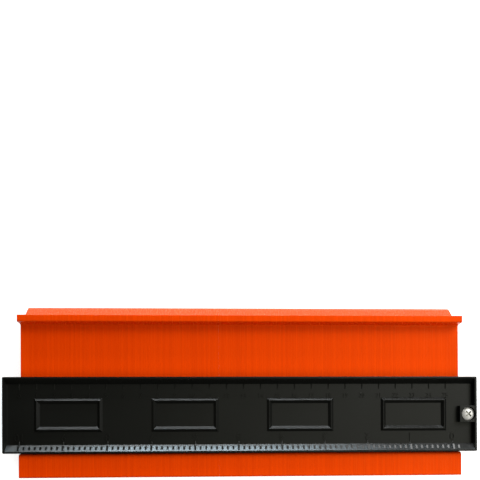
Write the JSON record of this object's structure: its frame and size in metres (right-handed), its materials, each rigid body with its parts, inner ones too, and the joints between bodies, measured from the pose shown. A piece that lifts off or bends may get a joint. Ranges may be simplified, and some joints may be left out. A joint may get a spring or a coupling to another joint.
{
  "type": "contour gauge",
  "caption": "Long profile gauge: a rack of thin sliding leaves with lipped, sloped tips, held by friction in a two-piece recessed housing with moulded scales.",
  "frame": {"origin": "under the middle of the whole gauge, on the plane that it lies on, with its leaves fully out", "axes": "+X along the housing towards the end with the front screw, +Y along the leaves towards their tips, +Z out of the front face"},
  "size_m": [0.276, 0.103, 0.024],
  "materials": {
    "housing": "satin moulded ABS",
    "leaf": "moulded ABS",
    "screw": "nickel plated",
    "strip": "soft rubber"
  },
  "bodies": {
    "housing": {"front_half": "housing", "rear_half": "housing", "front_friction_strip": "strip", "rear_friction_strip": "strip"},
    "front_clamp_screw": {"front_clamp_screw": "screw"},
    "rear_clamp_screw": {"rear_clamp_screw": "screw"},
    "leaf_group_01": {"leaf_group_01": "leaf"},
    "leaf_group_02": {"leaf_group_02": "leaf"},
    "leaf_group_03": {"leaf_group_03": "leaf"},
    "leaf_group_04": {"leaf_group_04": "leaf"},
    "leaf_group_05": {"leaf_group_05": "leaf"},
    "leaf_group_06": {"leaf_group_06": "leaf"},
    "leaf_group_07": {"leaf_group_07": "leaf"},
    "leaf_group_08": {"leaf_group_08": "leaf"},
    "leaf_group_09": {"leaf_group_09": "leaf"},
    "leaf_group_10": {"leaf_group_10": "leaf"},
    "leaf_group_11": {"leaf_group_11": "leaf"},
    "leaf_group_12": {"leaf_group_12": "leaf"},
    "leaf_group_13": {"leaf_group_13": "leaf"},
    "leaf_group_14": {"leaf_group_14": "leaf"},
    "leaf_group_15": {"leaf_group_15": "leaf"},
    "leaf_group_16": {"leaf_group_16": "leaf"},
    "leaf_group_17": {"leaf_group_17": "leaf"},
    "leaf_group_18": {"leaf_group_18": "leaf"},
    "leaf_group_19": {"leaf_group_19": "leaf"},
    "leaf_group_20": {"leaf_group_20": "leaf"},
    "leaf_group_21": {"leaf_group_21": "leaf"},
    "leaf_group_22": {"leaf_group_22": "leaf"},
    "leaf_group_23": {"leaf_group_23": "leaf"},
    "leaf_group_24": {"leaf_group_24": "leaf"},
    "leaf_group_25": {"leaf_group_25": "leaf"},
    "leaf_group_26": {"leaf_group_26": "leaf"},
    "leaf_group_27": {"leaf_group_27": "leaf"},
    "leaf_group_28": {"leaf_group_28": "leaf"},
    "leaf_group_29": {"leaf_group_29": "leaf"},
    "leaf_group_30": {"leaf_group_30": "leaf"},
    "leaf_group_31": {"leaf_group_31": "leaf"},
    "leaf_group_32": {"leaf_group_32": "leaf"},
    "leaf_group_33": {"leaf_group_33": "leaf"},
    "leaf_group_34": {"leaf_group_34": "leaf"},
    "leaf_group_35": {"leaf_group_35": "leaf"},
    "leaf_group_36": {"leaf_group_36": "leaf"},
    "leaf_group_37": {"leaf_group_37": "leaf"},
    "leaf_group_38": {"leaf_group_38": "leaf"},
    "leaf_group_39": {"leaf_group_39": "leaf"},
    "leaf_group_40": {"leaf_group_40": "leaf"},
    "leaf_group_41": {"leaf_group_41": "leaf"},
    "leaf_group_42": {"leaf_group_42": "leaf"},
    "leaf_group_43": {"leaf_group_43": "leaf"},
    "leaf_group_44": {"leaf_group_44": "leaf"},
    "leaf_group_45": {"leaf_group_45": "leaf"},
    "leaf_group_46": {"leaf_group_46": "leaf"},
    "leaf_group_47": {"leaf_group_47": "leaf"},
    "leaf_group_48": {"leaf_group_48": "leaf"},
    "leaf_group_49": {"leaf_group_49": "leaf"},
    "leaf_group_50": {"leaf_group_50": "leaf"},
    "leaf_group_51": {"leaf_group_51": "leaf"}
  },
  "joints": [
    {"name": "leaf_group_01_slide", "type": "slide", "parent": "housing", "child": "leaf_group_01", "axis": [0, 1, 0], "range_m": [-0.031, 0]},
    {"name": "leaf_group_02_slide", "type": "slide", "parent": "housing", "child": "leaf_group_02", "axis": [0, 1, 0], "range_m": [-0.031, 0]},
    {"name": "leaf_group_03_slide", "type": "slide", "parent": "housing", "child": "leaf_group_03", "axis": [0, 1, 0], "range_m": [-0.031, 0]},
    {"name": "leaf_group_04_slide", "type": "slide", "parent": "housing", "child": "leaf_group_04", "axis": [0, 1, 0], "range_m": [-0.031, 0]},
    {"name": "leaf_group_05_slide", "type": "slide", "parent": "housing", "child": "leaf_group_05", "axis": [0, 1, 0], "range_m": [-0.031, 0]},
    {"name": "leaf_group_06_slide", "type": "slide", "parent": "housing", "child": "leaf_group_06", "axis": [0, 1, 0], "range_m": [-0.031, 0]},
    {"name": "leaf_group_07_slide", "type": "slide", "parent": "housing", "child": "leaf_group_07", "axis": [0, 1, 0], "range_m": [-0.031, 0]},
    {"name": "leaf_group_08_slide", "type": "slide", "parent": "housing", "child": "leaf_group_08", "axis": [0, 1, 0], "range_m": [-0.031, 0]},
    {"name": "leaf_group_09_slide", "type": "slide", "parent": "housing", "child": "leaf_group_09", "axis": [0, 1, 0], "range_m": [-0.031, 0]},
    {"name": "leaf_group_10_slide", "type": "slide", "parent": "housing", "child": "leaf_group_10", "axis": [0, 1, 0], "range_m": [-0.031, 0]},
    {"name": "leaf_group_11_slide", "type": "slide", "parent": "housing", "child": "leaf_group_11", "axis": [0, 1, 0], "range_m": [-0.031, 0]},
    {"name": "leaf_group_12_slide", "type": "slide", "parent": "housing", "child": "leaf_group_12", "axis": [0, 1, 0], "range_m": [-0.031, 0]},
    {"name": "leaf_group_13_slide", "type": "slide", "parent": "housing", "child": "leaf_group_13", "axis": [0, 1, 0], "range_m": [-0.031, 0]},
    {"name": "leaf_group_14_slide", "type": "slide", "parent": "housing", "child": "leaf_group_14", "axis": [0, 1, 0], "range_m": [-0.031, 0]},
    {"name": "leaf_group_15_slide", "type": "slide", "parent": "housing", "child": "leaf_group_15", "axis": [0, 1, 0], "range_m": [-0.031, 0]},
    {"name": "leaf_group_16_slide", "type": "slide", "parent": "housing", "child": "leaf_group_16", "axis": [0, 1, 0], "range_m": [-0.031, 0]},
    {"name": "leaf_group_17_slide", "type": "slide", "parent": "housing", "child": "leaf_group_17", "axis": [0, 1, 0], "range_m": [-0.031, 0]},
    {"name": "leaf_group_18_slide", "type": "slide", "parent": "housing", "child": "leaf_group_18", "axis": [0, 1, 0], "range_m": [-0.031, 0]},
    {"name": "leaf_group_19_slide", "type": "slide", "parent": "housing", "child": "leaf_group_19", "axis": [0, 1, 0], "range_m": [-0.031, 0]},
    {"name": "leaf_group_20_slide", "type": "slide", "parent": "housing", "child": "leaf_group_20", "axis": [0, 1, 0], "range_m": [-0.031, 0]},
    {"name": "leaf_group_21_slide", "type": "slide", "parent": "housing", "child": "leaf_group_21", "axis": [0, 1, 0], "range_m": [-0.031, 0]},
    {"name": "leaf_group_22_slide", "type": "slide", "parent": "housing", "child": "leaf_group_22", "axis": [0, 1, 0], "range_m": [-0.031, 0]},
    {"name": "leaf_group_23_slide", "type": "slide", "parent": "housing", "child": "leaf_group_23", "axis": [0, 1, 0], "range_m": [-0.031, 0]},
    {"name": "leaf_group_24_slide", "type": "slide", "parent": "housing", "child": "leaf_group_24", "axis": [0, 1, 0], "range_m": [-0.031, 0]},
    {"name": "leaf_group_25_slide", "type": "slide", "parent": "housing", "child": "leaf_group_25", "axis": [0, 1, 0], "range_m": [-0.031, 0]},
    {"name": "leaf_group_26_slide", "type": "slide", "parent": "housing", "child": "leaf_group_26", "axis": [0, 1, 0], "range_m": [-0.031, 0]},
    {"name": "leaf_group_27_slide", "type": "slide", "parent": "housing", "child": "leaf_group_27", "axis": [0, 1, 0], "range_m": [-0.031, 0]},
    {"name": "leaf_group_28_slide", "type": "slide", "parent": "housing", "child": "leaf_group_28", "axis": [0, 1, 0], "range_m": [-0.031, 0]},
    {"name": "leaf_group_29_slide", "type": "slide", "parent": "housing", "child": "leaf_group_29", "axis": [0, 1, 0], "range_m": [-0.031, 0]},
    {"name": "leaf_group_30_slide", "type": "slide", "parent": "housing", "child": "leaf_group_30", "axis": [0, 1, 0], "range_m": [-0.031, 0]},
    {"name": "leaf_group_31_slide", "type": "slide", "parent": "housing", "child": "leaf_group_31", "axis": [0, 1, 0], "range_m": [-0.031, 0]},
    {"name": "leaf_group_32_slide", "type": "slide", "parent": "housing", "child": "leaf_group_32", "axis": [0, 1, 0], "range_m": [-0.031, 0]},
    {"name": "leaf_group_33_slide", "type": "slide", "parent": "housing", "child": "leaf_group_33", "axis": [0, 1, 0], "range_m": [-0.031, 0]},
    {"name": "leaf_group_34_slide", "type": "slide", "parent": "housing", "child": "leaf_group_34", "axis": [0, 1, 0], "range_m": [-0.031, 0]},
    {"name": "leaf_group_35_slide", "type": "slide", "parent": "housing", "child": "leaf_group_35", "axis": [0, 1, 0], "range_m": [-0.031, 0]},
    {"name": "leaf_group_36_slide", "type": "slide", "parent": "housing", "child": "leaf_group_36", "axis": [0, 1, 0], "range_m": [-0.031, 0]},
    {"name": "leaf_group_37_slide", "type": "slide", "parent": "housing", "child": "leaf_group_37", "axis": [0, 1, 0], "range_m": [-0.031, 0]},
    {"name": "leaf_group_38_slide", "type": "slide", "parent": "housing", "child": "leaf_group_38", "axis": [0, 1, 0], "range_m": [-0.031, 0]},
    {"name": "leaf_group_39_slide", "type": "slide", "parent": "housing", "child": "leaf_group_39", "axis": [0, 1, 0], "range_m": [-0.031, 0]},
    {"name": "leaf_group_40_slide", "type": "slide", "parent": "housing", "child": "leaf_group_40", "axis": [0, 1, 0], "range_m": [-0.031, 0]},
    {"name": "leaf_group_41_slide", "type": "slide", "parent": "housing", "child": "leaf_group_41", "axis": [0, 1, 0], "range_m": [-0.031, 0]},
    {"name": "leaf_group_42_slide", "type": "slide", "parent": "housing", "child": "leaf_group_42", "axis": [0, 1, 0], "range_m": [-0.031, 0]},
    {"name": "leaf_group_43_slide", "type": "slide", "parent": "housing", "child": "leaf_group_43", "axis": [0, 1, 0], "range_m": [-0.031, 0]},
    {"name": "leaf_group_44_slide", "type": "slide", "parent": "housing", "child": "leaf_group_44", "axis": [0, 1, 0], "range_m": [-0.031, 0]},
    {"name": "leaf_group_45_slide", "type": "slide", "parent": "housing", "child": "leaf_group_45", "axis": [0, 1, 0], "range_m": [-0.031, 0]},
    {"name": "leaf_group_46_slide", "type": "slide", "parent": "housing", "child": "leaf_group_46", "axis": [0, 1, 0], "range_m": [-0.031, 0]},
    {"name": "leaf_group_47_slide", "type": "slide", "parent": "housing", "child": "leaf_group_47", "axis": [0, 1, 0], "range_m": [-0.031, 0]},
    {"name": "leaf_group_48_slide", "type": "slide", "parent": "housing", "child": "leaf_group_48", "axis": [0, 1, 0], "range_m": [-0.031, 0]},
    {"name": "leaf_group_49_slide", "type": "slide", "parent": "housing", "child": "leaf_group_49", "axis": [0, 1, 0], "range_m": [-0.031, 0]},
    {"name": "leaf_group_50_slide", "type": "slide", "parent": "housing", "child": "leaf_group_50", "axis": [0, 1, 0], "range_m": [-0.031, 0]},
    {"name": "leaf_group_51_slide", "type": "slide", "parent": "housing", "child": "leaf_group_51", "axis": [0, 1, 0], "range_m": [-0.031, 0]},
    {"name": "front_clamp_screw_turn", "type": "hinge", "parent": "housing", "child": "front_clamp_screw", "pos_m": [0.13331, -0.01523, 0.024], "axis": [0, 0, 1], "range_deg": [-180, 180]},
    {"name": "rear_clamp_screw_turn", "type": "hinge", "parent": "housing", "child": "rear_clamp_screw", "pos_m": [-0.13331, -0.01523, 0], "axis": [0, 0, 1], "range_deg": [-180, 180]}
  ]
}
